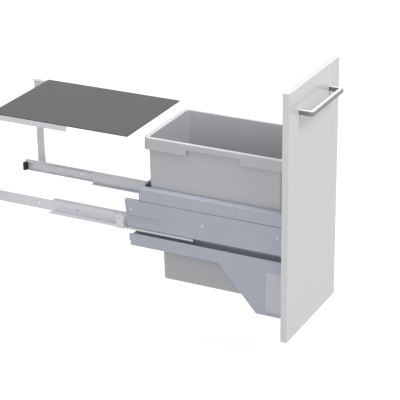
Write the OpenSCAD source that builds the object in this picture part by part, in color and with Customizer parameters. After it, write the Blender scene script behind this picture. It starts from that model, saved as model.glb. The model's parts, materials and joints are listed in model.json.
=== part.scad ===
// Pull-out bin frame on telescopic rails, drawn fully open.
// Origin: centre line of the cabinet, at its front edge, on the height of the lower fixing holes.
// +X is to the right seen from the front, +Y goes into the cabinet, +Z is up.

/* [Front panel] */
// Width of the front panel
front_w = 340; // [330:1:400]
// Height of the front panel
front_h = 716; // [690:1:800]
// Thickness of the front panel
front_t = 19; // [16:1:25]
// How far the front panel reaches below the fixing holes
front_drop = 250; // [210:1:300]

/* [Handle] */
// Distance between the two handle legs, centre to centre
handle_span = 204; // [128:4:256]
// Distance from the front panel's upper edge down to the handle
handle_down = 63; // [30:1:120]
// Height of the handle's bar
handle_h = 13; // [8:1:20]
// Thickness of the handle's bar
handle_bar = 10; // [8:1:14]
// How far the handle stands out from the front panel
handle_out = 40; // [30:1:60]

/* [Travel] */
// Travel from closed to fully open
travel = 460; // [420:5:470]
// Setback of the cabinet rails behind the cabinet's front edge
rail_setback = 22; // [18:1:30]

/* [Widths] */
// Inner width of the cabinet
cabinet_w = 318; // [308:1:330]
// Width over the two side panels
panel_over_w = 290; // [284:1:294]
// Width over the webs of the two cabinet rails
rail_over_w = 242; // [238:1:248]
// Width of the top frame
ring_w = 275; // [270:1:280]

/* [Telescopic rails] */
// Height of the middle rail
mid_h = 37.4; // [34:0.2:42]
// Height of the rails' centre above the fixing holes
rail_z = -3; // [-6:0.5:0]
// Sheet thickness of the rails
rail_gauge = 1.2; // [1:0.1:1.6]
// Depth of the cabinet rail and of the drawer rail
rail_deep = 7.6; // [7:0.1:9]
// Diameter of the bearing balls
ball_d = 3; // [2.4:0.1:3.6]
// Thickness of the ball cages
cage_t = 0.8; // [0.6:0.1:1]
// Running gap between rails, balls and cages
run_gap = 0.4; // [0.3:0.05:0.5]
// Length of the cabinet rails
cabinet_rail_len = 498; // [480:1:510]
// Length of the middle rails
mid_rail_len = 462; // [430:1:462]
// Length of the drawer rails
drawer_rail_len = 470; // [450:5:476]
// Setback of the middle rail behind the cabinet's front edge when closed
mid_setback = 48; // [44:1:52]
// How far the middle rail's foot stands out
foot_out = 19.6; // [14:0.2:20]
// Height of the foot's upturned edge
foot_edge = 7.5; // [4:0.5:7.5]
// Length of the ball cages
cage_len = 170; // [120:5:180]
// Balls in each row of a cage
balls_per_row = 6; // [4:1:8]

/* [Rail brackets] */
// Length of a rail bracket along the rail
bracket_len = 24; // [22:1:40]
// Sheet thickness of the brackets
bracket_t = 2; // [1.5:0.5:3]
// Distance of the front fixing hole from the cabinet's front edge
hole_front = 37; // [37:1:40]
// Distance between front and rear fixing holes
hole_pitch_y = 448; // [416:32:448]
// Distance between lower and upper fixing holes
hole_pitch_z = 20; // [16:1:24]
// Diameter of the fixing holes
hole_d = 5; // [4:0.5:6]

/* [Side panels] */
// Height of the side panels' top edge above the fixing holes
panel_top = 75; // [70:1:80]
// Height of the side panels
panel_h = 81.2; // [74:0.2:84]
// Length of the side panels
panel_len = 485; // [470:1:490]
// Sheet thickness of the side panels and carriers
panel_t = 1.2; // [1:0.1:1.6]
// Width of the panels' top flange
panel_flange = 13; // [11:0.5:16]
// Depth of the stamped recess in the side panel
recess_deep = 2; // [0.6:0.1:2.4]
// Depth of the carrier plate below the fixing holes
carrier_drop = 20; // [17:0.5:23]

/* [Top frame] */
// Height of the top frame
ring_h = 36; // [30:1:42]
// Length of the top frame
ring_len = 443; // [440:1:450]
// Wall thickness of the top frame
ring_t = 2.5; // [2:0.1:3.5]
// Width of the top frame's upper flange along the sides
ring_side_flange = 15; // [10:0.5:15]
// Width of the top frame's upper flange at front and rear
ring_end_flange = 8; // [6:0.5:9]
// Corner radius of the top frame
ring_r = 10; // [6:0.5:16]

/* [Door brackets] */
// Height of the bracket arm
arm_h = 36.6; // [30:0.2:42]
// Length of the bracket arm
arm_len = 472.5; // [440:0.5:475]
// Depth of the front plate below the arm's top edge
plate_drop = 168; // [140:1:190]
// Width of the front plate at its foot
foot_w = 82; // [60:1:110]
// Distance from the door to the knee of the bracket
knee_y = 199; // [150:1:260]
// Gap between the side panel's lower edge and the arm
arm_gap = 19.4; // [19:0.2:24]
// Sheet thickness of the adjusting plate
adjust_t = 1.5; // [1:0.1:2.5]
// Width of the adjusting plate
adjust_w = 54.5; // [50:0.5:64]
// Height of the adjusting plate
adjust_h = 118; // [90:1:122]

/* [Bin] */
// Width over the bin's rim
rim_w = 253; // [240:1:256]
// Length over the bin's rim
rim_len = 431; // [400:1:434]
// Height of the rim above the fixing holes
rim_z = 262; // [230:1:264]
// Depth of the turned-down lip
lip_h = 35; // [25:1:45]
// Depth of the lip in the hand recess
lip_mid_h = 18.5; // [12:0.5:22]
// Length of the hand recess in the lip
lip_mid_len = 161; // [120:1:200]
// Full height of the bin
bin_h = 436; // [400:1:450]
// Wall thickness of the bin
bin_wall = 2.5; // [2:0.1:3.5]
// How far the rim stands out beyond the upper body
rim_out = 7; // [6:0.5:9]
// Width of the shoulder that the bin stands on
shoulder = 22; // [19:0.5:24]
// Draft of the bin's walls from top to bottom
bin_draft = 3.5; // [2:0.5:5]
// Corner radius of the upper body
bin_r = 11; // [8:1:20]

/* [Lid] */
// Sheet thickness of the lid
lid_t = 3; // [2:0.5:4]
// Depth of the lid
lid_len = 440; // [435:1:450]
// Setback of the lid behind the cabinet's front edge
lid_setback = 6; // [4:1:12]
// Gap between the bin's rim and the lid
lid_gap = 5; // [4.5:0.5:8]
// Clearance between the lid and the cabinet's side
lid_side_gap = 2; // [1.5:0.5:4]
// Where the lid carriers' arms begin, behind the cabinet's front edge
carrier_arm_y = 200; // [160:5:260]

/* [Fasteners] */
// Diameter of the screws' shanks
screw_d = 4; // [3:0.5:5]
// Diameter of the screws' heads
head_d = 7; // [6:0.5:10]
// Height of the screws' heads
head_h = 1.8; // [1.2:0.1:2.4]
// Clearance of a screw in its hole
screw_gap = 0.2; // [0.15:0.05:0.4]
// Seat gap of a loose or soft piece
seat_gap = 0.3; // [0.3:0.05:0.5]

/* [Hidden] */
$fn = 48;
eps = 0.01;
over = 1;
arc_steps = 6;
hull_fn = 32;
ball_fn = 24;

// Half widths, counted outwards from the centre line
cab_u = cabinet_w / 2;
panel_u = panel_over_w / 2;
rail_u = rail_over_w / 2;
ring_u = ring_w / 2;

// Stack of the telescopic rail, from the cabinet rail's web inwards
ball_space = ball_d + 2 * run_gap;
mid_half = mid_h / 2;
race_half = mid_half - rail_gauge;
slim_half = race_half - ball_space;
ball_half = race_half - ball_space / 2;
cab_tip_u = rail_u - rail_deep;
cage1_u = cab_tip_u - run_gap - cage_t;
mid_web_u = cage1_u - run_gap - rail_gauge;
cage2_u = mid_web_u - run_gap - cage_t;
drw_tip_u = cage2_u - run_gap;
drw_web_u = drw_tip_u - rail_deep;
carrier_u = drw_web_u - panel_t;
arm_web_u = carrier_u - bracket_t;
lip_gap = 0.9;
mid_out_u = rail_u - rail_gauge - run_gap;
mid_in_u = drw_web_u + rail_gauge + run_gap;
foot_z = rail_z - slim_half - run_gap;
ball1_u = (cage1_u + mid_out_u - rail_gauge) / 2 + cage_t / 2;
ball2_u = (cage2_u + cage_t + mid_in_u + rail_gauge) / 2 - cage_t / 2;

// Rests of the sliding pieces when fully open
cage1_lead = 15;
cage2_lead = 14;
mid_y = mid_setback - travel / 2;
cage1_y = rail_setback + cage1_lead;
cage2_y = mid_y + cage2_lead;
drw_rail_y = 8;
buffer_len = 9;
buffer_tip = 2;
cage_windows = 3;
window_span = [0.2, 0.8];
window_half = 9;

// Rivets and small screws
rivet_d = 3;
rivet_head = 5.4;
rivet_cap = 1;
rivet_pitch = 14;
rail_rivet_y = [60, 190, 320, 440];
lid_screw_d = 3;
lid_head_d = 6;
tip = 0.5;
nut_t = 2;
nut_d = 6.5;
rivet_hole = rivet_d + 2 * screw_gap;
screw_hole = screw_d + 2 * screw_gap;
lid_hole = lid_screw_d + 2 * screw_gap;

// Side panel and its fixings, counted from the door's back
panel_y = 2.5;
panel_low = panel_top - panel_h;
panel_rake = 9;
panel_leg = 15;
recess = [375, 474, 14.6, 29.6];
recess_r = 3;
panel_fix = [[20.7, 46], [245.6, 38], [468, 47]];
spacer_d = 10;
carrier_tail = panel_fix[2][1] + spacer_d / 2 + over;

// Top frame
ring_y = 3;
ledge_t = 3;
frame_fix_y = [70, 225, 375];
frame_fix_in = 5;
frame_fix_u = ring_u - ring_t - head_d / 2 - frame_fix_in;

// Rail brackets and carriers
bridge_drop = 3.6;
plate_margin = 10;
plate_r = 4;
tab_lift = 1.6;
bridge_z = panel_low - bridge_drop;
plate_top = hole_pitch_z + plate_margin;
tab_low = rail_z - slim_half + tab_lift;
tab_top = bridge_z + bracket_t;
rivet_z = (tab_low + bridge_z) / 2;
rail_holes = [195, 323];
bracket_y = [hole_front, hole_front + hole_pitch_y];

// Door bracket
arm_top = panel_low - arm_gap;
arm_low = arm_top - arm_h;
foot_low = arm_top - plate_drop;
web_top = 30;
web_y = [22, 484];
arm_notch = [27, 9];
flange_drop = 10;
adjust_drop = 38;
adjust_edge = 10;
adjust_ends = [24, 5];
adjust_slot = 3;
adjust_r = 3;
adjust_top = arm_top - adjust_drop;
adjust_low = adjust_top - adjust_h;
adjust_fix_y = adjust_w - adjust_edge;
adjust_fix_z = [adjust_top - adjust_ends[0], adjust_low + adjust_ends[1]];
door_fix_in = 22;
door_fix_edge = 16;
door_tab = 10;
door_fix_u = panel_u - door_fix_in;
door_fix_z = [adjust_top - door_fix_edge, adjust_low + door_fix_edge];
door_fix_deep = 12;

// Front panel and handle
front_r = 1;
handle_z = front_h - front_drop - handle_down - handle_h;
handle_pad = 10;
handle_r = 6;
handle_fix_deep = 11;
handle_fix_z = handle_z + handle_h / 2;

// Bin, counted from the door's back
rim_y = 6;
bin_mid_y = rim_y + rim_len / 2;
ledge_z = panel_top + ledge_t;
shoulder_z = ledge_z + seat_gap;
floor_z = rim_z - bin_h;
body_u = rim_w / 2 - rim_out;
rim_end = 7;
rim_flare = 1.5;
foot_in = 2;
body_v = rim_len / 2 - rim_out - rim_end;
rim_u = rim_w / 2;
rim_v = rim_len / 2;
low_u = body_u - shoulder - foot_in;
low_v = body_v - shoulder;
open_gap = 4;

// Lid
lid_top = rim_z + lid_gap + lid_t;
lid_low = lid_top - lid_t;
lid_u = cab_u - lid_side_gap;
carrier_in_u = cab_u - 2 * bracket_t;
lid_ledge = 12;
lid_fix_in = 5;
lid_fix_ends = [20, 30];
lid_r = 2;
lid_fix_u = carrier_in_u - lid_fix_in;
lid_fix_y = [carrier_arm_y + lid_fix_ends[0], lid_setback + lid_len - lid_fix_ends[1]];
lid_arm = 16;
lid_gusset = 40;

// Colours of the finishes
steel_blue = [0.62, 0.65, 0.70];
steel_light = [0.74, 0.76, 0.79];
zinc = [0.78, 0.79, 0.80];
plastic_grey = [0.66, 0.66, 0.66];
front_white = [0.90, 0.90, 0.91];
chrome = [0.86, 0.87, 0.88];
lid_grey = [0.40, 0.40, 0.41];
rubber_dark = [0.20, 0.20, 0.21];

// Places: a pair of sides, the drawer in its open place, and extrusions along Y and across X
module right() { children(); }
module left() { mirror([1, 0, 0]) children(); }
module in_drawer() { translate([0, -travel, 0]) children(); }

module along_y(y, len) {
  translate([0, y + len, 0]) rotate([90, 0, 0]) linear_extrude(len) children();
}

module across_x(x, t) {
  translate([x, 0, 0]) rotate([90, 0, 90]) linear_extrude(t) children();
}

module bar2(x0, x1, y0, y1) {
  translate([x0, y0]) square([x1 - x0, y1 - y0]);
}

module block(x0, x1, y0, y1, z0, z1) {
  translate([x0, y0, z0]) cube([x1 - x0, y1 - y0, z1 - z0]);
}

module pin_x(x0, x1, y, z, d) {
  translate([x0, y, z]) rotate([0, 90, 0]) cylinder(d = d, h = x1 - x0);
}

module pin_y(x, y0, y1, z, d) {
  translate([x, y1, z]) rotate([90, 0, 0]) cylinder(d = d, h = y1 - y0);
}

module pin_z(x, y, z0, z1, d) {
  translate([x, y, z0]) cylinder(d = d, h = z1 - z0);
}

// Rectangle with round corners between two corners, without a hull
module round_rect(x0, x1, y0, y1, r) {
  bar2(x0 + r, x1 - r, y0, y1);
  bar2(x0, x1, y0 + r, y1 - r);
  for (x = [x0 + r, x1 - r], y = [y0 + r, y1 - r]) translate([x, y]) circle(r);
}

// Outline with its corners rounded: each point is [y, z, radius]
function unit(v) = v / norm(v);
function corner_arc(a, p, b, r) =
  let (da = unit([a[0] - p[0], a[1] - p[1]]), db = unit([b[0] - p[0], b[1] - p[1]]))
  let (half = acos(da * db) / 2, reach = r / tan(half), mid = unit(da + db))
  let (c = [p[0], p[1]] + mid * r / sin(half))
  let (s = [p[0], p[1]] + da * reach - c, e = [p[0], p[1]] + db * reach - c)
  [for (i = [0 : arc_steps]) let (k = i / arc_steps, v = unit(s * (1 - k) + e * k)) c + v * r];
function rounded(pts) =
  let (n = len(pts))
  [for (i = [0 : n - 1])
    each (pts[i][2] > 0
      ? corner_arc(pts[(i + n - 1) % n], pts[i], pts[(i + 1) % n], pts[i][2])
      : [[pts[i][0], pts[i][1]]])];

// Cabinet rail: C profile, open inwards, with a web that rises in front of the middle rail
module cabinet_rail() {
  color(zinc) difference() {
    along_y(rail_setback, cabinet_rail_len) {
      bar2(rail_u - rail_gauge, rail_u, rail_z - slim_half, rail_z + mid_half);
      for (s = [-1, 1]) {
        z = rail_z + s * (slim_half - rail_gauge / 2);
        bar2(cab_tip_u, rail_u, z - rail_gauge / 2, z + rail_gauge / 2);
      }
    }
    for (y = rail_holes) pin_x(rail_u - 2 * rail_gauge, rail_u + over, y, 0, hole_d);
    for (y = bracket_y, dy = [-1, 1])
      pin_x(rail_u - 2 * rail_gauge, rail_u + over, y + dy * rivet_pitch / 2, rivet_z, rivet_hole);
  }
}

// Z-shaped bracket that carries a rail on the cabinet's side, under the moving side panel
module rail_bracket(y) {
  color(zinc) difference() {
    union() {
      along_y(y - bracket_len / 2, bracket_len) {
        bar2(rail_u, rail_u + bracket_t, tab_low, tab_top);
        bar2(rail_u, cab_u, bridge_z, tab_top);
      }
      across_x(cab_u - bracket_t, bracket_t)
        polygon(rounded([
          [y - bracket_len / 2, bridge_z, 0], [y + bracket_len / 2, bridge_z, 0],
          [y + bracket_len / 2, plate_top, plate_r], [y - bracket_len / 2, plate_top, plate_r]]));
    }
    for (z = [0, hole_pitch_z]) pin_x(cab_u - 2 * bracket_t, cab_u + over, y, z, hole_d);
    for (dy = [-1, 1])
      pin_x(rail_u - over, rail_u + 2 * bracket_t, y + dy * rivet_pitch / 2, rivet_z, rivet_hole);
  }
}

module bracket_rivets() {
  u0 = rail_u - rail_gauge;
  u1 = rail_u + bracket_t;
  color(steel_light) for (hole_y = bracket_y, dy = [-1, 1]) {
    y = hole_y + dy * rivet_pitch / 2;
    pin_x(u0 - rivet_cap, u1 + rivet_cap, y, rivet_z, rivet_d);
    pin_x(u1, u1 + rivet_cap, y, rivet_z, rivet_head);
    pin_x(u0 - rivet_cap, u0, y, rivet_z, rivet_head);
  }
}

// Rubber plug in the rear end of the cabinet rail, clear of the rivets
module end_buffer() {
  y1 = rail_setback + cabinet_rail_len;
  half = slim_half - rail_gauge - seat_gap;
  color(rubber_dark) along_y(y1 - buffer_len, buffer_len) {
    bar2(drw_web_u + buffer_tip, rail_u - rail_gauge - rivet_cap - seat_gap, rail_z - half, rail_z + half);
  }
}

// Lid carrier: upright on the rear bracket, with an arm and a ledge under the lid
module lid_carrier() {
  y = bracket_y[1];
  y0 = y - bracket_len / 2;
  y1 = y + bracket_len / 2;
  color(zinc) difference() {
    union() {
      across_x(carrier_in_u, bracket_t) polygon(rounded([
        [y0, tab_top + seat_gap, 0], [y1, tab_top + seat_gap, 0], [y1, lid_low, 0],
        [carrier_arm_y, lid_low, 0], [carrier_arm_y, lid_low - lid_arm, plate_r],
        [y0 - lid_gusset, lid_low - lid_arm, 2 * plate_r],
        [y0, lid_low - lid_arm - lid_gusset, 2 * plate_r]]));
      block(carrier_in_u - lid_ledge, carrier_in_u + bracket_t, carrier_arm_y, y1,
        lid_low - bracket_t, lid_low);
    }
    for (z = [0, hole_pitch_z]) pin_x(carrier_in_u - over, cab_u, y, z, hole_d);
    for (fix_y = lid_fix_y) pin_z(lid_fix_u, fix_y, lid_low - 2 * bracket_t, lid_low + over, lid_hole);
  }
}

module lid_screws() {
  color(steel_light) for (s = [-1, 1], y = lid_fix_y) {
    pin_z(s * lid_fix_u, y, lid_low - bracket_t - tip, lid_low + lid_t / 2, lid_screw_d);
    pin_z(s * lid_fix_u, y, lid_low - bracket_t - head_h, lid_low - bracket_t, lid_head_d);
  }
}

module lid() {
  y1 = lid_setback + lid_len;
  color(lid_grey) difference() {
    translate([0, 0, lid_low]) linear_extrude(lid_t) round_rect(-lid_u, lid_u, lid_setback, y1, lid_r);
    for (s = [-1, 1], y = lid_fix_y)
      pin_z(s * lid_fix_u, y, lid_low - over, lid_low + lid_t / 2 + screw_gap, lid_hole);
  }
}

// Ball cage: a thin channel with two rows of balls held in its ears
module ball_cage(y, web_u, ear_u, ball_u) {
  u0 = min(web_u, ear_u);
  u1 = max(web_u + cage_t, ear_u);
  pitch = cage_len / cage_windows;
  color(steel_light) union() {
    difference() {
      along_y(y, cage_len) {
        bar2(web_u, web_u + cage_t, rail_z - ball_half - cage_t / 2, rail_z + ball_half + cage_t / 2);
        for (s = [-1, 1]) {
          z = rail_z + s * ball_half;
          bar2(u0, u1, z - cage_t / 2, z + cage_t / 2);
        }
      }
      for (i = [0 : cage_windows - 1])
        block(web_u - over, web_u + cage_t + over, y + (i + window_span[0]) * pitch,
          y + (i + window_span[1]) * pitch, rail_z - window_half, rail_z + window_half);
    }
    for (s = [-1, 1], i = [0 : balls_per_row - 1])
      translate([ball_u, y + (i + 1 / 2) * cage_len / balls_per_row, rail_z + s * ball_half])
        sphere(d = ball_d, $fn = ball_fn);
  }
}

module outer_ball_cage() { ball_cage(cage1_y, cage1_u, mid_out_u - rail_gauge - run_gap, ball1_u); }
module inner_ball_cage() { ball_cage(cage2_y, cage2_u, mid_in_u + rail_gauge + run_gap, ball2_u); }

// Middle rail: two channels back to back, one round each of its neighbours, with a stiffening foot
module middle_rail() {
  color(zinc) along_y(mid_y, mid_rail_len) {
    bar2(mid_web_u, mid_web_u + rail_gauge, rail_z - mid_half, rail_z + mid_half);
    for (s = [-1, 1]) {
      z = rail_z + s * (mid_half - rail_gauge / 2);
      bar2(mid_in_u, mid_out_u, z - rail_gauge / 2, z + rail_gauge / 2);
      low = slim_half + lip_gap;
      for (u = [mid_in_u, mid_out_u - rail_gauge])
        bar2(u, u + rail_gauge, rail_z + min(s * low, s * mid_half), rail_z + max(s * low, s * mid_half));
    }
    bar2(mid_out_u - rail_gauge, mid_out_u + foot_out, foot_z - rail_gauge, foot_z);
    bar2(mid_out_u + foot_out - rail_gauge, mid_out_u + foot_out, foot_z - rail_gauge,
      foot_z - rail_gauge + foot_edge);
  }
}

// Drawer rail: C profile, open outwards, riveted to the runner carrier
module drawer_rail() {
  color(zinc) in_drawer() difference() {
    along_y(drw_rail_y, drawer_rail_len) {
      bar2(drw_web_u, drw_web_u + rail_gauge, rail_z - slim_half, rail_z + slim_half);
      for (s = [-1, 1]) {
        z = rail_z + s * (slim_half - rail_gauge / 2);
        bar2(drw_web_u, drw_tip_u, z - rail_gauge / 2, z + rail_gauge / 2);
      }
    }
    for (y = rail_rivet_y) pin_x(drw_web_u - over, drw_web_u + 2 * rail_gauge, y, rail_z, rivet_hole);
  }
}

module rail_rivets() {
  u1 = drw_web_u + rail_gauge;
  color(steel_light) in_drawer() for (y = rail_rivet_y) {
    pin_x(arm_web_u - rivet_cap, u1 + rivet_cap, y, rail_z, rivet_d);
    pin_x(u1, u1 + rivet_cap, y, rail_z, rivet_head);
    pin_x(arm_web_u - rivet_cap, arm_web_u, y, rail_z, rivet_head);
  }
}

// Runner carrier: angle under the top frame that holds the drawer rail
module runner_carrier() {
  color(steel_blue) in_drawer() difference() {
    union() {
      along_y(panel_y, ring_len)
        bar2(carrier_u, carrier_u + panel_t, -carrier_drop, panel_top - panel_t);
      along_y(panel_y, panel_len - panel_rake - over)
        bar2(carrier_u, carrier_u + panel_t, -carrier_drop, carrier_tail);
      along_y(panel_y, ring_len)
        bar2(carrier_u, panel_u - panel_flange - seat_gap, panel_top - panel_t, panel_top);
    }
    for (y = rail_rivet_y) pin_x(carrier_u - over, carrier_u + 2 * panel_t, y, rail_z, rivet_hole);
    for (p = panel_fix) pin_x(carrier_u - over, carrier_u + 2 * panel_t, p[0], p[1], screw_hole);
    for (y = frame_fix_y) pin_z(frame_fix_u, y, panel_top - 2 * panel_t, panel_top + over, screw_hole);
  }
}

// Side panel: folded sheet with a top flange, a short inner leg and a stamped recess
module side_panel() {
  color(steel_blue) in_drawer() difference() {
    intersection() {
      union() {
        along_y(panel_y, panel_len) {
          bar2(panel_u - panel_t, panel_u, panel_low, panel_top);
          bar2(panel_u - panel_flange, panel_u, panel_top - panel_t, panel_top);
          bar2(panel_u - panel_flange, panel_u - panel_flange + panel_t, panel_top - panel_leg, panel_top);
        }
        across_x(panel_u - panel_t - recess_deep, panel_t)
          round_rect(recess[0] - panel_t, recess[1] + panel_t, recess[2] - panel_t, recess[3] + panel_t,
            recess_r + panel_t);
      }
      across_x(panel_u - panel_flange - over, panel_flange + 2 * over)
        polygon([[panel_y, panel_low], [panel_y + panel_len - panel_rake, panel_low],
          [panel_y + panel_len, panel_top], [panel_y, panel_top]]);
    }
    across_x(panel_u - recess_deep, recess_deep + over)
      round_rect(recess[0], recess[1], recess[2], recess[3], recess_r);
    for (p = panel_fix) pin_x(panel_u - 2 * panel_t, panel_u + over, p[0], p[1], screw_hole);
  }
}

// Sleeves that keep the side panel apart from the runner carrier
module panel_spacers() {
  color(steel_light) in_drawer() for (p = panel_fix) difference() {
    pin_x(carrier_u + panel_t, panel_u - panel_t, p[0], p[1], spacer_d);
    pin_x(carrier_u, panel_u, p[0], p[1], screw_hole);
  }
}

module panel_screws() {
  color(steel_light) in_drawer() for (p = panel_fix) {
    pin_x(carrier_u - nut_t, panel_u + tip, p[0], p[1], screw_d);
    pin_x(panel_u, panel_u + head_h, p[0], p[1], head_d);
    pin_x(carrier_u - nut_t, carrier_u, p[0], p[1], nut_d);
  }
}

// Top frame: a ring with an upper flange and the ledge that the bin stands on
module top_frame() {
  y0 = ring_y;
  y1 = ring_y + ring_len;
  u = ring_u - ring_side_flange;
  color(steel_blue) in_drawer() difference() {
    translate([0, 0, panel_top]) linear_extrude(ring_h) round_rect(-ring_u, ring_u, y0, y1, ring_r);
    translate([0, 0, panel_top + ledge_t]) linear_extrude(ring_h - ledge_t - ring_t)
      round_rect(ring_t - ring_u, ring_u - ring_t, y0 + ring_t, y1 - ring_t, ring_r - ring_t);
    translate([0, 0, panel_top + ring_h - 2 * ring_t]) linear_extrude(3 * ring_t)
      round_rect(-u, u, y0 + ring_end_flange, y1 - ring_end_flange, ring_r);
    translate([0, 0, panel_top - over]) linear_extrude(ledge_t + 2 * over)
      round_rect(-low_u - open_gap, low_u + open_gap,
        bin_mid_y - low_v - open_gap, bin_mid_y + low_v + open_gap, bin_r);
    for (s = [-1, 1], y = frame_fix_y)
      pin_z(s * frame_fix_u, y, panel_top - over, panel_top + ledge_t + over, screw_hole);
  }
}

module frame_screws() {
  head_z = panel_top - panel_t - head_h;
  color(steel_light) in_drawer() for (s = [-1, 1], y = frame_fix_y) {
    pin_z(s * frame_fix_u, y, head_z, ledge_z + nut_t, screw_d);
    pin_z(s * frame_fix_u, y, head_z, head_z + head_h, head_d);
    pin_z(s * frame_fix_u, y, ledge_z, ledge_z + nut_t, nut_d);
  }
}

// Door bracket: long arm with a deep front plate, and a web inside the rail
module door_bracket() {
  rear = panel_y + arm_len;
  flange_z = arm_top - flange_drop;
  color(steel_blue) in_drawer() difference() {
    union() {
      across_x(panel_u - bracket_t, bracket_t) polygon(rounded([
        [panel_y, arm_top, 0], [rear, arm_top, 4], [rear, arm_low, 9], [knee_y, arm_low, 12],
        [panel_y + foot_w, foot_low, 7], [panel_y, foot_low, 0]]));
      block(arm_web_u, panel_u, web_y[0], rear, flange_z - bracket_t, flange_z);
      block(arm_web_u, arm_web_u + bracket_t, web_y[0], web_y[1], flange_z - bracket_t, web_top);
    }
    pin_x(panel_u - 2 * bracket_t, panel_u + over, rear, arm_top - arm_notch[0], arm_notch[1]);
    for (z = adjust_fix_z) {
      for (dz = [-adjust_slot, adjust_slot])
        pin_x(panel_u - 2 * bracket_t, panel_u + over, adjust_fix_y, z + dz, screw_hole);
      block(panel_u - 2 * bracket_t, panel_u + over, adjust_fix_y - screw_hole / 2,
        adjust_fix_y + screw_hole / 2, z - adjust_slot, z + adjust_slot);
    }
    for (y = rail_rivet_y) pin_x(arm_web_u - over, arm_web_u + 2 * bracket_t, y, rail_z, rivet_hole);
  }
}

// Adjusting plate: angle between the door bracket and the front panel
module adjusting_plate() {
  color(steel_light) in_drawer() difference() {
    union() {
      across_x(panel_u, adjust_t) polygon(rounded([
        [0, adjust_top, 0], [adjust_w, adjust_top, adjust_r],
        [adjust_w, adjust_low, adjust_r], [0, adjust_low, 0]]));
      block(door_fix_u - door_tab, panel_u + adjust_t, 0, adjust_t, adjust_low, adjust_top);
    }
    for (z = adjust_fix_z) pin_x(panel_u - over, panel_u + 2 * adjust_t, adjust_fix_y, z, screw_hole);
    for (z = door_fix_z) pin_y(door_fix_u, -over, 2 * adjust_t, z, screw_hole);
  }
}

module adjusting_screws() {
  u0 = panel_u - bracket_t;
  u1 = panel_u + adjust_t;
  color(zinc) in_drawer() for (z = adjust_fix_z) {
    pin_x(u0 - nut_t, u1 + tip, adjust_fix_y, z, screw_d);
    pin_x(u1, u1 + head_h, adjust_fix_y, z, head_d);
    pin_x(u0 - nut_t, u0, adjust_fix_y, z, head_d);
  }
}

module door_screws() {
  color(zinc) in_drawer() for (s = [-1, 1], z = door_fix_z) {
    pin_y(s * door_fix_u, -door_fix_deep, adjust_t + tip, z, screw_d);
    pin_y(s * door_fix_u, adjust_t, adjust_t + head_h, z, head_d);
  }
}

// Front panel and its handle
module front_panel() {
  color(front_white) in_drawer() difference() {
    translate([0, 0, -front_drop]) linear_extrude(front_h)
      round_rect(-front_w / 2, front_w / 2, -front_t, 0, front_r);
    for (s = [-1, 1], z = door_fix_z)
      pin_y(s * door_fix_u, -door_fix_deep - screw_gap, over, z, screw_hole);
    for (s = [-1, 1])
      pin_y(s * handle_span / 2, -front_t - over, over, handle_fix_z, screw_hole);
  }
}

module handle() {
  hu = handle_span / 2 + handle_bar / 2;
  y0 = -front_t - handle_out;
  color(chrome) in_drawer() difference() {
    translate([0, 0, handle_z]) linear_extrude(handle_h) difference() {
      union() {
        round_rect(-hu, hu, y0, -front_t, handle_r);
        bar2(-hu, hu, -front_t - handle_pad, -front_t);
      }
      round_rect(handle_bar - hu, hu - handle_bar, y0 + handle_bar, handle_pad, plate_r);
    }
    for (s = [-1, 1])
      pin_y(s * handle_span / 2, -front_t - handle_fix_deep - over, -front_t + over,
        handle_fix_z, screw_hole);
  }
}

module handle_screws() {
  color(zinc) in_drawer() for (s = [-1, 1]) {
    pin_y(s * handle_span / 2, -front_t - handle_fix_deep, tip, handle_fix_z, screw_d);
    pin_y(s * handle_span / 2, 0, head_h, handle_fix_z, head_d);
  }
}

// Bin: tapered body with a shoulder, a hollow rim and a hand recess in its lip
module bin_slab(u, v, r, z) {
  translate([0, bin_mid_y, z]) linear_extrude(eps) round_rect(-u, u, -v, v, r, $fn = hull_fn);
}

module bin_loft(u0, v0, z0, u1, v1, z1, r) {
  hull() {
    bin_slab(u0, v0, r, z0);
    bin_slab(u1, v1, r, z1 - eps);
  }
}

module bin() {
  d = bin_draft;
  w = bin_wall;
  f = rim_flare;
  half = d / 2;
  color(plastic_grey) in_drawer() difference() {
    union() {
      bin_loft(body_u - half, body_v - half, shoulder_z, body_u, body_v, rim_z, bin_r);
      bin_loft(low_u - d, low_v - d, floor_z, low_u, low_v, shoulder_z + eps, bin_r);
      bin_loft(rim_u, rim_v, rim_z - lip_h, rim_u - f, rim_v - f, rim_z, bin_r + rim_out);
    }
    bin_loft(body_u - half - w, body_v - half - w, shoulder_z + w,
      body_u - w, body_v - w, rim_z + over, bin_r - w);
    bin_loft(low_u - d - w, low_v - d - w, floor_z + w,
      low_u - w, low_v - w, shoulder_z + 2 * w, bin_r - w);
    difference() {
      bin_loft(rim_u - w, rim_v - w, rim_z - lip_h - over,
        rim_u - f - w, rim_v - f - w, rim_z - w, bin_r + rim_out - w);
      bin_loft(body_u - half, body_v - half, shoulder_z, body_u, body_v, rim_z, bin_r);
    }
    for (s = [-1, 1]) translate([s * rim_u, bin_mid_y, rim_z - lip_h])
      cube([2 * (rim_out - eps), lip_mid_len, 2 * (lip_h - lip_mid_h)], center = true);
  }
}

left() cabinet_rail();  // cabinet_rail_left
right() cabinet_rail();  // cabinet_rail_right
left() rail_bracket(bracket_y[0]);  // front_bracket_left
right() rail_bracket(bracket_y[0]);  // front_bracket_right
left() rail_bracket(bracket_y[1]);  // rear_bracket_left
right() rail_bracket(bracket_y[1]);  // rear_bracket_right
left() bracket_rivets();  // bracket_rivets_left
right() bracket_rivets();  // bracket_rivets_right
left() end_buffer();  // end_buffer_left
right() end_buffer();  // end_buffer_right
left() lid_carrier();  // lid_carrier_left
right() lid_carrier();  // lid_carrier_right
lid();
lid_screws();
left() outer_ball_cage();  // outer_ball_cage_left
right() outer_ball_cage();  // outer_ball_cage_right
left() middle_rail();  // middle_rail_left
right() middle_rail();  // middle_rail_right
left() inner_ball_cage();  // inner_ball_cage_left
right() inner_ball_cage();  // inner_ball_cage_right
left() drawer_rail();  // drawer_rail_left
right() drawer_rail();  // drawer_rail_right
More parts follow.
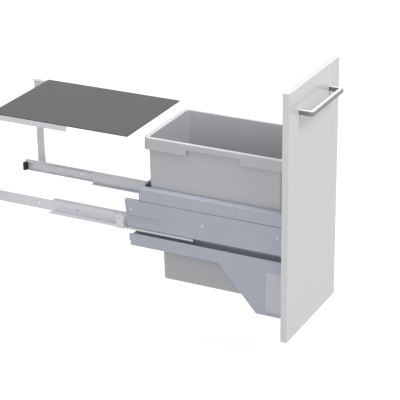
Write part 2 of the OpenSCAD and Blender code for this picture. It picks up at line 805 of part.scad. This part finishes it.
left() runner_carrier();  // runner_carrier_left
right() runner_carrier();  // runner_carrier_right
left() rail_rivets();  // rail_rivets_left
right() rail_rivets();  // rail_rivets_right
left() side_panel();  // side_panel_left
right() side_panel();  // side_panel_right
left() panel_spacers();  // panel_spacers_left
right() panel_spacers();  // panel_spacers_right
left() panel_screws();  // panel_screws_left
right() panel_screws();  // panel_screws_right
top_frame();
frame_screws();
left() door_bracket();  // door_bracket_left
right() door_bracket();  // door_bracket_right
left() adjusting_plate();  // adjusting_plate_left
right() adjusting_plate();  // adjusting_plate_right
left() adjusting_screws();  // adjusting_screws_left
right() adjusting_screws();  // adjusting_screws_right
door_screws();
front_panel();
handle();
handle_screws();
bin();
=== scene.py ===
import json
from math import cos, radians, sin

import bmesh
import bpy
from mathutils import Matrix, Vector


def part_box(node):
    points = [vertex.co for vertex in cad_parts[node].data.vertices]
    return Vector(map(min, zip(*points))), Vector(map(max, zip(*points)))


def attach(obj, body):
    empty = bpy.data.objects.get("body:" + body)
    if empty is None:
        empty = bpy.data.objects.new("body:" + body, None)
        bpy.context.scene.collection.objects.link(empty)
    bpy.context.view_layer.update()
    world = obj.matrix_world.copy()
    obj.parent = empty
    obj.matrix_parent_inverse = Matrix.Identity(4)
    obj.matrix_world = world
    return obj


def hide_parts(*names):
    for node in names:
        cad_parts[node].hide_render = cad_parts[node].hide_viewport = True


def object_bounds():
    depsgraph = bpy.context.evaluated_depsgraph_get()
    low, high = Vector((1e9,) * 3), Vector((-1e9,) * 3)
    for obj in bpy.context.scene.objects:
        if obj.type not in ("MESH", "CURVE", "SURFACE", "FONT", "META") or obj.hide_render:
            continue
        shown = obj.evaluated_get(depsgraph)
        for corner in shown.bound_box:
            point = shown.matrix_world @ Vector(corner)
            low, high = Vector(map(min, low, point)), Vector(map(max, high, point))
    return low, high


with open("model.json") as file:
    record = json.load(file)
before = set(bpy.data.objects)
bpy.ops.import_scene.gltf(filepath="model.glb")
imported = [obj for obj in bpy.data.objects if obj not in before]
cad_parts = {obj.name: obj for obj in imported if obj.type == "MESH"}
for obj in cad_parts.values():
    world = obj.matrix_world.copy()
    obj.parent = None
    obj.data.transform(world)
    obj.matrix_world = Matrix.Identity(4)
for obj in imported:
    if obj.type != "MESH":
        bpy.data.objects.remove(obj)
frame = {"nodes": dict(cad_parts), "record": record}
CAD_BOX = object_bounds()
NODES = frame["nodes"]
SLOTS = {part["node"]: part["material_slot"] for part in frame["record"]["subparts"]}
BODIES = {
    node: body
    for body, nodes in frame["record"]["behaviour"]["bodies"].items()
    for node in nodes
}

# Camera, from a fit to the photograph: place in metres, turns in degrees, lens in millimetres
CAMERA_AT = Vector((-3.76532, -2.03228, 1.85986))
CAMERA_YAW = 63.257
CAMERA_PITCH = -23.291
CAMERA_ROLL = -0.658
LENS = 146.5
SENSOR = 36
CLIP_END = 50

# Floor and studio light: sizes in metres, lamps in watts, levels as the shaders take them
WHITE = (1, 1, 1, 1)
FLOOR_DROP = 0.16
FLOOR_SIZE = 14
FLOOR_TONE = 0.35
FLOOR_GLOW = 0.83
FLOOR_ROUGH = 0.9
WORLD_LEVEL = 0.5
SEEN_LEVEL = 1.0
LAMPS_AIM = Vector((0, -0.2, 0))
KEY_LAMPS = [
    # name, place, size, power
    ("front_softbox", (-0.64, -4.6, 4.9), 2.9, 165),
    ("top_softbox", (-0.48, -0.36, 4.8), 3.2, 82),
    ("side_softbox", (-5.4, -1.3, 2.24), 3.8, 94),
]

# Colours of the finishes: one that a pattern varies, or a pattern's darkest and palest colour
LACQUER = (0.745, 0.745, 0.745)
STEEL_BLUE = (0.463, 0.492, 0.568)
STEEL_LIGHT = (0.59, 0.60, 0.65)
ZINC = (0.72, 0.73, 0.765)
LID_DARK = (0.083, 0.083, 0.086)
BIN_GREY = (0.50, 0.505, 0.525)
# Pale colour of the painted highlight along the top of the bin's rim
RIM_HIGHLIGHT = (0.67, 0.675, 0.69)
CHROME = ((0.89, 0.89, 0.90), (0.94, 0.94, 0.94))
# Darker chrome: painted shade and dark reflection on the handle's faces that don't look up, and in
# the screws' sockets
SHADE_CHROME = ((0.2, 0.2, 0.21), (0.27, 0.27, 0.28))
RUBBER = ((0.03, 0.03, 0.03), (0.06, 0.06, 0.06))

# How far down from its top the bin's rim gets a painted highlight, in metres
RIM_HIGHLIGHT_DEPTH = 0.004

# Scale of a grain along X, Y and Z: it runs along the axis with the small number
EVEN = (1, 1, 1)
ALONG_X = (0.03, 1, 1)
ALONG_Y = (1, 0.02, 1)
ALONG_Z = (1, 1, 0.04)

# The values between which most of a noise lies
NOISE_RANGE = (0.3, 0.7)

# Sockets of a colour Mix node, which has several of the same name
MIX_FACTOR = 0
MIX_LOW = 6
MIX_HIGH = 7
MIX_RESULT = 2

# The screws that have the bright look instead of their slot's
BRIGHT_NODES = ["panel_screws_left", "panel_screws_right"]

# Places in a replacing piece's list of materials: the piece's own look, and a darker chrome that is
# painted shade
OWN_LOOK = 0
SHADE_LOOK = 1

# Welding, rounding and smoothing: lengths in metres, angles in degrees. NEAR is the play with
# which an edge still counts as lying at a limit of its piece.
NEAR = 0.0001
NODE_WELD = 0.00001
PIECE_WELD = 0.00005
FLAT_ANGLE = 0.5
ROUND_ANGLE = 34
LARGEST_FACE_FIRST = 100
SAME_WEIGHT = 0.0001
EDGE_SEGMENTS = 2
BEND_SEGMENTS = 4

# A face is upright where the size of its normal's Z is below this, and looks up where Z is above
UPRIGHT = 0.5

# Radii of the edges that press, saw and mould leave, in metres
EDGE_ROUND = {"front_panel": 0.0018, "lid": 0.0008}
SHEET_ROUND = 0.0004
HANDLE_ROUND = 0.0012
RIM_ROUND = 0.003
MOULD_ROUND = 0.0011
FOOT_ROUND = 0.003
LIP_ROUND = 0.0007
PANEL_BEND = 0.0009
BEND_IN = 0.0006
RECESS_ROUND = 0.0008
HEAD_ROUND = 0.0005

# Where the bin's lip lies, where the side panels have their stamped recess, and how long their
# folded edges are at least
LIP_Z = (0.2, 0.25)
RECESS_Y = (-0.088, 0.017)
RECESS_Z = (0.012, 0.032)
LONG_EDGE = 0.1

# The top frame: how far its side walls and its rim are moved, the depth of wall and corner that
# goes along, and the radii of its upper and its lower bend
FRAME_OUT = 0.007
FRAME_UP = 0.003
FRAME_WALL = 0.003
FRAME_CORNER = 0.0101
FRAME_BEND = 0.0019
FRAME_FOOT = 0.0045

# Sockets in the screws' heads: the ring that is left, the depth, and the share of the widest
# face's area from which a face counts as a head
SOCKET_EDGE = 0.0018
SOCKET_DEEP = 0.0011
HEAD_SHARE = 0.98
SOCKET_SCREWS = [
    "adjusting_screws_left",
    "adjusting_screws_right",
    "door_screws",
    "frame_screws",
    "handle_screws",
]


def camera_matrix(place, yaw, pitch, roll):
    """Looks along yaw from +Y towards +X, raised by pitch, rolled about the line of sight."""
    yaw, pitch, roll = radians(yaw), radians(pitch), radians(roll)
    ahead = Vector((sin(yaw) * cos(pitch), cos(yaw) * cos(pitch), sin(pitch)))
    level = Vector((cos(yaw), -sin(yaw), 0))
    upright = level.cross(ahead)
    right = level * cos(roll) + upright * sin(roll)
    up = upright * cos(roll) - level * sin(roll)
    turn = Matrix((right, up, -ahead)).transposed().to_4x4()
    return Matrix.Translation(place) @ turn


def seen_level(tree, hidden, seen):
    """A number: seen for camera, glossy and transmission rays, and hidden for all others."""
    rays = tree.nodes.new("ShaderNodeLightPath")
    result = rays.outputs["Is Camera Ray"]
    for name in ("Is Glossy Ray", "Is Transmission Ray"):
        either = tree.nodes.new("ShaderNodeMath")
        either.operation = "MAXIMUM"
        tree.links.new(result, either.inputs[0])
        tree.links.new(rays.outputs[name], either.inputs[1])
        result = either.outputs[0]
    level = tree.nodes.new("ShaderNodeMapRange")
    level.inputs["To Min"].default_value = hidden
    level.inputs["To Max"].default_value = seen
    tree.links.new(result, level.inputs["Value"])
    return level.outputs["Result"]


def link(name, data):
    """A new object at the origin, in the scene."""
    obj = bpy.data.objects.new(name, data)
    bpy.context.scene.collection.objects.link(obj)
    return obj


def add_camera():
    data = bpy.data.cameras.new("camera")
    data.lens = LENS
    data.sensor_width = SENSOR
    data.clip_end = CLIP_END
    camera = link("camera", data)
    camera.matrix_world = camera_matrix(CAMERA_AT, CAMERA_YAW, CAMERA_PITCH, CAMERA_ROLL)
    bpy.context.scene.camera = camera


class Finish:
    """A material's node tree, with its shader and short calls for the nodes that finishes share."""

    def __init__(self, name, **sockets):
        self.material = bpy.data.materials.new(name)
        self.material.use_nodes = True
        self.tree = self.material.node_tree
        self.shader = self.tree.nodes["Principled BSDF"]
        for socket, value in sockets.items():
            self.shader.inputs[socket.replace("_", " ")].default_value = value
        self.place = self.node("ShaderNodeTexCoord").outputs["Object"]

    def node(self, kind, **settings):
        made = self.tree.nodes.new(kind)
        for key, value in settings.items():
            setattr(made, key, value)
        return made

    def join(self, source, target):
        self.tree.links.new(source, target)

    def stretched(self, scale):
        """Object coordinates scaled along each axis, so that grain can run one way."""
        mapping = self.node("ShaderNodeMapping")
        mapping.inputs["Scale"].default_value = scale
        self.join(self.place, mapping.inputs["Vector"])
        return mapping.outputs["Vector"]

    def noise(self, scale, detail=3, rough=0.55, stretch=EVEN):
        """Noise of that many cells a metre."""
        made = self.node("ShaderNodeTexNoise")
        made.inputs["Scale"].default_value = scale
        made.inputs["Detail"].default_value = detail
        made.inputs["Roughness"].default_value = rough
        self.join(self.stretched(stretch), made.inputs["Vector"])
        return made.outputs["Fac"]

    def spread(self, source, low, high, inside=NOISE_RANGE):
        """Maps a pattern onto a range of values."""
        made = self.node("ShaderNodeMapRange")
        made.inputs["From Min"].default_value = inside[0]
        made.inputs["From Max"].default_value = inside[1]
        made.inputs["To Min"].default_value = low
        made.inputs["To Max"].default_value = high
        self.join(source, made.inputs["Value"])
        return made.outputs["Result"]

    def along(self, axis):
        """The place along one axis, in metres."""
        parts = self.node("ShaderNodeSeparateXYZ")
        self.join(self.place, parts.inputs["Vector"])
        return parts.outputs[axis]

    def towards(self, factor, high):
        """A Mix node that goes over to a colour as the factor grows."""
        made = self.node("ShaderNodeMix", data_type="RGBA")
        made.inputs[MIX_HIGH].default_value = (*high, 1)
        self.join(factor, made.inputs[MIX_FACTOR])
        return made

    def blend(self, factor, low, high):
        """From one colour to another."""
        made = self.towards(factor, high)
        made.inputs[MIX_LOW].default_value = (*low, 1)
        return made.outputs[MIX_RESULT]

    def cover(self, factor, pattern, high):
        """From a pattern's own colour to another."""
        made = self.towards(factor, high)
        self.join(pattern, made.inputs[MIX_LOW])
        return made.outputs[MIX_RESULT]

    def clouds(self, pattern, base, dark, light=1):
        """The base colour, darkened and lightened by a pattern."""
        low, high = ([c * share for c in base] for share in (dark, light))
        return self.blend(pattern, low, high)

    def colour(self, source):
        self.join(source, self.shader.inputs["Base Color"])

    def roughness(self, source, low, high):
        self.join(self.spread(source, low, high), self.shader.inputs["Roughness"])

    def bump(self, source, depth, strength):
        """Raises the pattern by that depth in metres."""
        made = self.node("ShaderNodeBump")
        made.inputs["Distance"].default_value = depth
        made.inputs["Strength"].default_value = strength
        self.join(source, made.inputs["Height"])
        self.join(made.outputs["Normal"], self.shader.inputs["Normal"])


def gloss_lacquer():
    """High gloss white front with a faint orange peel."""
    f = Finish(
        "gloss_lacquer",
        Roughness=0.24,
        Specular_IOR_Level=0.3,
        Coat_Weight=0.08,
        Coat_Roughness=0.04,
    )
    f.colour(f.clouds(f.noise(scale=3.5), LACQUER, dark=0.985))
    f.bump(f.noise(scale=180, detail=2), depth=0.00004, strength=0.35)
    return f.material


def powder_coat(name, base):
    """Satin powder coat: fine grain, slightly cloudy."""
    f = Finish(name)
    f.colour(f.clouds(f.noise(scale=9, detail=4), base, dark=0.96, light=1.03))
    f.roughness(f.noise(scale=60), low=0.42, high=0.56)
    f.bump(f.noise(scale=1500, detail=2), depth=0.00006, strength=0.5)
    return f.material


def zinc_plate(name, along):
    """Zinc plating over a drawn grain."""
    f = Finish(name, Metallic=0.25)
    grain = f.noise(scale=900, detail=2, rough=0.6, stretch=along)
    f.colour(f.clouds(f.noise(scale=14), ZINC, dark=0.92))
    f.roughness(grain, low=0.42, high=0.58)
    f.bump(grain, depth=0.00003, strength=0.4)
    return f.material


def brushed_lid():
    """Dark lacquered steel, brushed along its depth."""
    f = Finish("brushed_lid", Metallic=0.6)
    brushing = f.noise(scale=1100, rough=0.6, stretch=ALONG_Y)
    f.colour(f.clouds(brushing, LID_DARK, dark=0.85, light=1.15))
    f.roughness(brushing, low=0.3, high=0.46)
    f.bump(brushing, depth=0.00003, strength=0.5)
    return f.material


def moulded_plastic(rim_top):
    """Light grey polypropylene with a fine eroded grain, and a painted highlight that pales the top
    of the rim.
    """
    f = Finish("moulded_plastic", Specular_IOR_Level=0.75)
    # Painted highlight: the top few millimetres of the rim turn pale, standing in for light on its
    # rounded edge
    rim_highlight_mask = f.spread(f.along("Z"), low=0, high=1, inside=(rim_top - RIM_HIGHLIGHT_DEPTH, rim_top))
    body = f.clouds(f.noise(scale=5, detail=4), BIN_GREY, dark=0.96, light=1.03)
    f.colour(f.cover(rim_highlight_mask, body, RIM_HIGHLIGHT))
    f.roughness(f.noise(scale=40), low=0.34, high=0.44)
    f.bump(f.noise(scale=1800, detail=2), depth=0.00005, strength=0.45)
    return f.material


def satin_chrome():
    """Bright, finely brushed top of the handle."""
    f = Finish("satin_chrome", Metallic=0.25)
    brushing = f.noise(scale=1500, detail=2, rough=0.5, stretch=ALONG_X)
    f.colour(f.blend(brushing, *CHROME))
    f.roughness(brushing, low=0.2, high=0.26)
    f.bump(brushing, depth=0.00001, strength=0.15)
    return f.material


def painted_shade_chrome():
    """Darker copy of the chrome: painted shade and dark reflection on the handle's sides and
    underside, and in the screws' sockets.
    """
    f = Finish("painted_shade_chrome", Metallic=0.9)
    shade_grain = f.noise(scale=1300, detail=2, rough=0.5, stretch=ALONG_Z)
    f.colour(f.blend(shade_grain, *SHADE_CHROME))
    f.roughness(shade_grain, low=0.3, high=0.42)
    f.bump(shade_grain, depth=0.00001, strength=0.4)
    return f.material


def dull_rubber():
    f = Finish("dull_rubber", Specular_IOR_Level=0.3)
    f.colour(f.blend(f.noise(scale=80), *RUBBER))
    f.roughness(f.noise(scale=300), low=0.7, high=0.9)
    f.bump(f.noise(scale=900), depth=0.00005, strength=0.5)
    return f.material


def white_floor():
    """Pale floor that keeps the soft shadow and shows as white elsewhere."""
    f = Finish(
        "white_floor",
        Roughness=FLOOR_ROUGH,
        Specular_IOR_Level=0,
        Base_Color=(FLOOR_TONE, FLOOR_TONE, FLOOR_TONE, 1),
        Emission_Color=WHITE,
    )
    f.join(seen_level(f.tree, 0, FLOOR_GLOW), f.shader.inputs["Emission Strength"])
    return f.material


def add_floor():
    low, _ = CAD_BOX
    mesh = bpy.data.meshes.new("floor")
    bm = bmesh.new()
    bmesh.ops.create_grid(bm, x_segments=1, y_segments=1, size=FLOOR_SIZE)
    bmesh.ops.translate(bm, verts=bm.verts, vec=(0, 0, low[2] - FLOOR_DROP))
    bm.to_mesh(mesh)
    bm.free()
    floor = link("floor", mesh)
    mesh.materials.append(white_floor())


def add_light():
    """Soft lamps, and a world that the camera and the metal see as white."""
    for name, place, size, power in KEY_LAMPS:
        data = bpy.data.lights.new(name, "AREA")
        data.shape = "SQUARE"
        data.size = size
        data.energy = power
        turn = (LAMPS_AIM - Vector(place)).to_track_quat("-Z", "Y")
        link(name, data).matrix_world = Matrix.Translation(place) @ turn.to_matrix().to_4x4()
    world = bpy.data.worlds.new("studio")
    world.use_nodes = True
    tree = world.node_tree
    sky = tree.nodes["Background"]
    sky.inputs["Color"].default_value = WHITE
    tree.links.new(seen_level(tree, WORLD_LEVEL, SEEN_LEVEL), sky.inputs["Strength"])
    bpy.context.scene.world = world


def round_edges(obj, width):
    """Makes a CAD node's faces whole and rounds its sharp edges, by modifiers alone."""
    weld = obj.modifiers.new("weld", "WELD")
    weld.merge_threshold = NODE_WELD
    whole = obj.modifiers.new("whole_faces", "DECIMATE")
    whole.decimate_type = "DISSOLVE"
    whole.angle_limit = radians(FLAT_ANGLE)
    bevel = obj.modifiers.new("rounding", "BEVEL")
    bevel.width = width
    bevel.segments = EDGE_SEGMENTS
    bevel.limit_method = "ANGLE"
    bevel.angle_limit = radians(ROUND_ANGLE)
    bevel.use_clamp_overlap = True
    even_normals(obj)


def even_normals(obj):
    """Smooth shading that leaves the large flat faces flat."""
    obj.data.shade_smooth()
    weighted = obj.modifiers.new("even_normals", "WEIGHTED_NORMAL")
    weighted.weight = LARGEST_FACE_FIRST
    weighted.thresh = SAME_WEIGHT


def merged(node):
    """A bmesh of a CAD node's shape, with its loose triangles welded and its flat faces whole."""
    bm = bmesh.new()
    bm.from_mesh(NODES[node].data)
    bmesh.ops.remove_doubles(bm, verts=bm.verts, dist=PIECE_WELD)
    bmesh.ops.dissolve_limit(
        bm, angle_limit=radians(FLAT_ANGLE), verts=bm.verts, edges=bm.edges
    )
    return bm


def finish_piece(bm, name, node, materials, rounding, width):
    """The piece that stands for a CAD node.

    rounding gives the radius of each sharp edge, and width is the largest of these radii.
    """
    share = bm.edges.layers.float.new("bevel_weight_edge")
    for edge in bm.edges:
        if len(edge.link_faces) == 2 and edge.calc_face_angle(0) > radians(ROUND_ANGLE):
            edge[share] = rounding(edge) / width
    mesh = bpy.data.meshes.new(name)
    bm.to_mesh(mesh)
    bm.free()
    for material in materials:
        mesh.materials.append(material)
    piece = link(name, mesh)
    bevel = piece.modifiers.new("rounding", "BEVEL")
    bevel.width = width
    bevel.segments = BEND_SEGMENTS
    bevel.limit_method = "WEIGHT"
    bevel.use_clamp_overlap = False
    even_normals(piece)
    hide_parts(node)
    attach(piece, BODIES[node])


def is_outward(edge, middle):
    """Whether one of the edge's faces is upright and looks away from that middle."""
    away = (edge.verts[0].co - middle).xy
    return any(
        abs(face.normal.z) < UPRIGHT and face.normal.xy.dot(away) > 0
        for face in edge.link_faces
    )


def add_bin(finishes):
    """The bin with a full round rim, a softer foot, and crisp lip edges."""
    low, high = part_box("bin")
    middle = (low + high) / 2

    def rounding(edge):
        heights = [v.co.z for v in edge.verts]
        if min(heights) > high.z - NEAR:
            return RIM_ROUND if is_outward(edge, middle) else MOULD_ROUND
        if max(heights) < low.z + NEAR:
            return FOOT_ROUND
        if LIP_Z[0] < max(heights) < LIP_Z[1]:
            return LIP_ROUND
        return MOULD_ROUND

    looks = [finishes["bin_plastic"]]
    finish_piece(merged("bin"), "moulded_bin", "bin", looks, rounding, RIM_ROUND)


def add_handle(finishes):
    """The handle: bright chrome on top, and on all its other faces a darker copy that is painted
    shade and dark reflection.
    """
    bm = merged("handle")
    for face in bm.faces:
        # Faces that don't look up get the darker chrome: painted shade and dark reflection
        face.material_index = OWN_LOOK if face.normal.z > UPRIGHT else SHADE_LOOK
    looks = [finishes["handle_chrome"], finishes["painted_shade_chrome"]]
    finish_piece(bm, "bow_handle", "handle", looks, lambda edge: HANDLE_ROUND, HANDLE_ROUND)


def add_side_panel(node, name, finishes):
    """Folded sheet: bends with a real radius, and a recess with drawn edges."""
    _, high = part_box(node)

    def rounding(edge):
        middle = (edge.verts[0].co + edge.verts[1].co) / 2
        if edge.calc_length() > LONG_EDGE and middle.z > high.z - NEAR:
            return PANEL_BEND
        if edge.calc_length() > LONG_EDGE and not edge.is_convex:
            return BEND_IN
        if RECESS_Y[0] < middle.y < RECESS_Y[1] and RECESS_Z[0] < middle.z < RECESS_Z[1]:
            return RECESS_ROUND
        return SHEET_ROUND

    looks = [finishes["blue_grey_steel"]]
    finish_piece(merged(node), name, node, looks, rounding, PANEL_BEND)


def add_top_frame(finishes):
    """The frame, its walls moved out flush with the side panels, so that a joint line shows."""
    low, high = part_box("top_frame")
    middle = (low + high) / 2
    bm = merged("top_frame")

    def in_wall(place, side):
        in_corner = min(place.y - low.y, high.y - place.y) < FRAME_CORNER
        return side * place.x > high.x - (FRAME_CORNER if in_corner else FRAME_WALL)

    for side in (-1, 1):
        wall = [v for v in bm.verts if in_wall(v.co, side)]
        bmesh.ops.translate(bm, verts=wall, vec=(side * FRAME_OUT, 0, 0))
    rim = [v for v in bm.verts if v.co.z > high.z - FRAME_WALL]
    bmesh.ops.translate(bm, verts=rim, vec=(0, 0, FRAME_UP))

    def rounding(edge):
        heights = [v.co.z for v in edge.verts]
        if is_outward(edge, middle) and min(heights) > high.z + FRAME_UP - NEAR:
            return FRAME_BEND
        if is_outward(edge, middle) and max(heights) < low.z + NEAR:
            return FRAME_FOOT
        return SHEET_ROUND

    looks = [finishes["blue_grey_steel"]]
    finish_piece(bm, "folded_frame", "top_frame", looks, rounding, FRAME_FOOT)


def add_screws(node, finishes):
    """Screws with a socket in each head, whose floor is painted dark as shade."""
    bm = merged(node)
    widest = max(face.calc_area() for face in bm.faces)
    heads = [face for face in bm.faces if face.calc_area() > HEAD_SHARE * widest]
    bmesh.ops.inset_individual(bm, faces=heads, thickness=SOCKET_EDGE, use_even_offset=True)
    for face in heads:
        inward = -SOCKET_DEEP * face.normal
        floor = bmesh.ops.extrude_discrete_faces(bm, faces=[face])["faces"][0]
        bmesh.ops.translate(bm, verts=floor.verts, vec=inward)
        # The socket's floor gets the darker chrome: painted shade
        floor.material_index = SHADE_LOOK
    looks = [finishes[SLOTS[node]], finishes["painted_shade_chrome"]]
    finish_piece(bm, node + "_with_sockets", node, looks, lambda edge: HEAD_ROUND, HEAD_ROUND)


def make_finishes():
    """One finish for each material slot of the record, and a darker chrome that is painted shade.
    """
    _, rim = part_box("bin")
    return {
        "blue_grey_steel": powder_coat("powder_coat", STEEL_BLUE),
        "light_steel": powder_coat("light_coat", STEEL_LIGHT),
        "zinc_steel": zinc_plate("zinc_rail", ALONG_Y),
        "bright_steel": zinc_plate("zinc_screw", EVEN),
        "lid_steel": brushed_lid(),
        "front_gloss": gloss_lacquer(),
        "handle_chrome": satin_chrome(),
        "bin_plastic": moulded_plastic(rim.z),
        "rubber": dull_rubber(),
        "painted_shade_chrome": painted_shade_chrome(),
    }


def dress_nodes(finishes):
    """Every CAD node gets its finish, and the edges that a press or a mould leaves round."""
    for node, slot in SLOTS.items():
        obj = NODES[node]
        obj.data.materials.clear()
        look = "bright_steel" if node in BRIGHT_NODES else slot
        obj.data.materials.append(finishes[look])
        round_edges(obj, EDGE_ROUND.get(node, SHEET_ROUND))


add_camera()
add_floor()
add_light()
finishes = make_finishes()
dress_nodes(finishes)
add_bin(finishes)
add_handle(finishes)
for side in ("left", "right"):
    add_side_panel("side_panel_" + side, "folded_panel_" + side, finishes)
add_top_frame(finishes)
for screws in SOCKET_SCREWS:
    add_screws(screws, finishes)
bpy.context.scene.view_settings.view_transform = "Standard"
